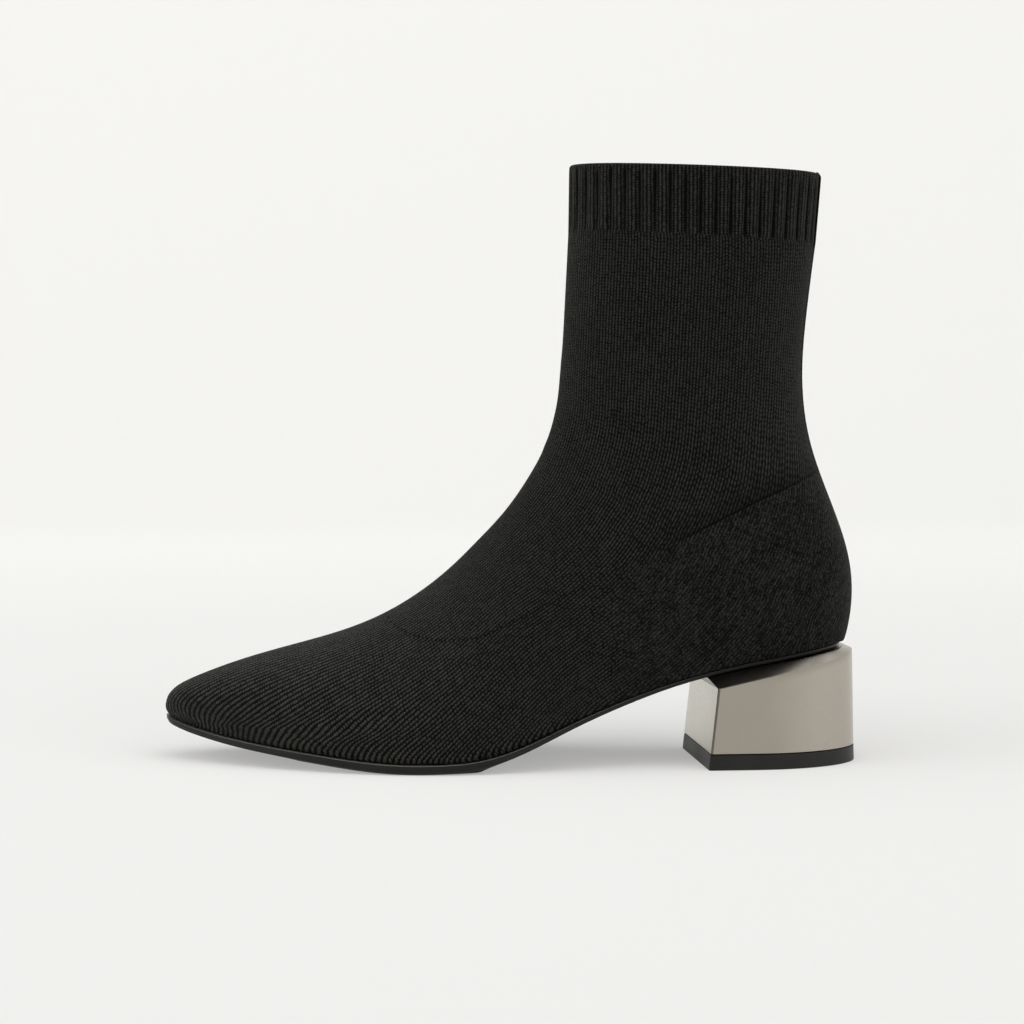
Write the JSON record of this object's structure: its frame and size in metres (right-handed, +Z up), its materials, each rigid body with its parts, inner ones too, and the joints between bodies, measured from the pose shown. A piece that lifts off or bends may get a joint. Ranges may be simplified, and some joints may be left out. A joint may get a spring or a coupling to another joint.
{
  "type": "ankle boot",
  "caption": "Knitted sock-style ankle boot with a pointed toe, ribbed cuff, thin rubber sole and a low flared block heel in a satin metallic finish",
  "frame": {"origin": "on the floor, under the middle of the boot's length and width", "axes": "+Z up, toe towards -X, back of the heel towards +X, outer side of the foot towards -Y"},
  "size_m": [0.2668, 0.0842, 0.228],
  "materials": {
    "upper": "black stretch knit, matte",
    "insole": "dark cloth cover on a board",
    "outsole": "black, satin edge",
    "heel_block": "satin pewter-coloured metallic coating",
    "top_piece": "black, matte"
  },
  "bodies": {
    "root": {"upper": "upper", "insole": "insole", "outsole": "outsole", "heel_block": "heel_block", "top_piece": "top_piece"}
  },
  "joints": []
}
